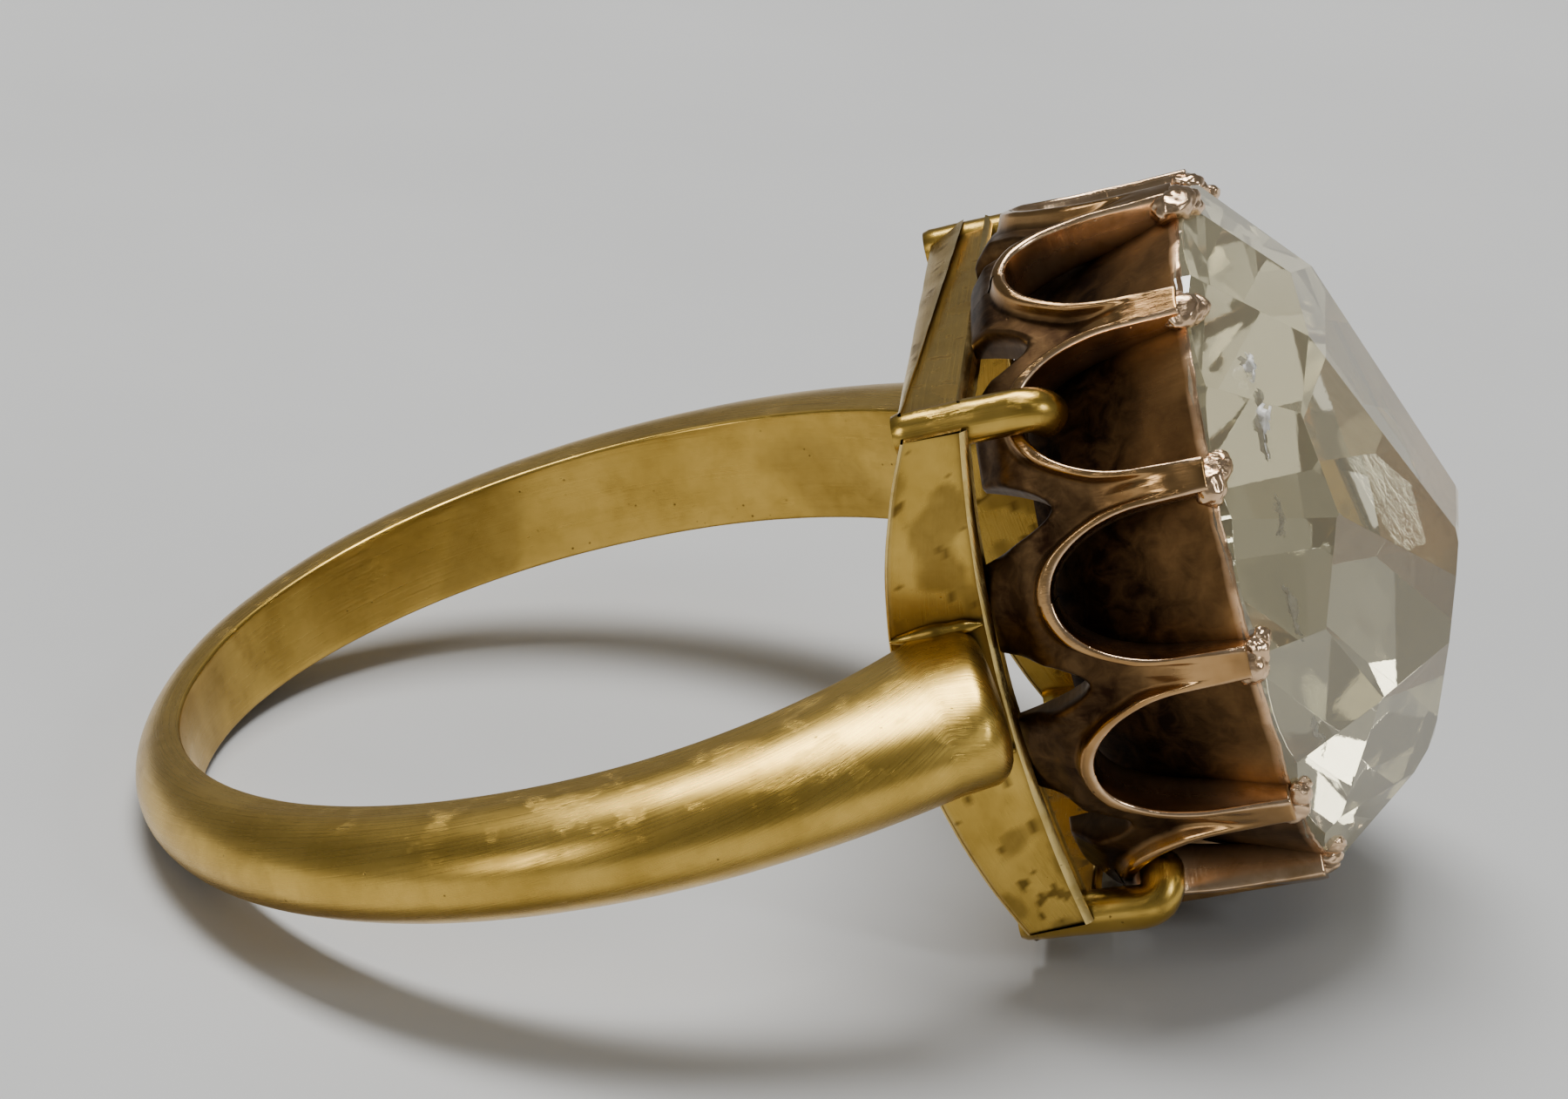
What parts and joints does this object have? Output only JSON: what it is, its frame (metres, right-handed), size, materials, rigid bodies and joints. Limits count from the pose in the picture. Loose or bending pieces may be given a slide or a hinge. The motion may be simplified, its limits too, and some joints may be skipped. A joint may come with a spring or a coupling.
{
  "type": "engagement ring",
  "caption": "Solitaire finger ring: tapered half-round shank, square gallery frame with hooked corner posts, claw coronet holding one large old-cut stone",
  "frame": {"origin": "centre of the finger hole", "axes": "+Z along the finger hole's axis, +X from the finger hole to the stone, +Y across the head from the front arm to the back arm"},
  "size_m": [0.0256, 0.0214, 0.0136],
  "materials": {
    "yellow_gold": "satin, worn",
    "rose_gold": "polished bands, dark patina in the recesses",
    "stone": "faceted, clear, faintly yellow"
  },
  "bodies": {
    "root": {"shank": "yellow_gold", "side_bar_front": "yellow_gold", "side_bar_back": "yellow_gold", "end_bar_upper": "yellow_gold", "end_bar_lower": "yellow_gold", "post_front_upper": "yellow_gold", "post_front_lower": "yellow_gold", "post_back_upper": "yellow_gold", "post_back_lower": "yellow_gold", "coronet": "rose_gold", "bearing_collet": "rose_gold", "stone": "stone"}
  },
  "joints": []
}
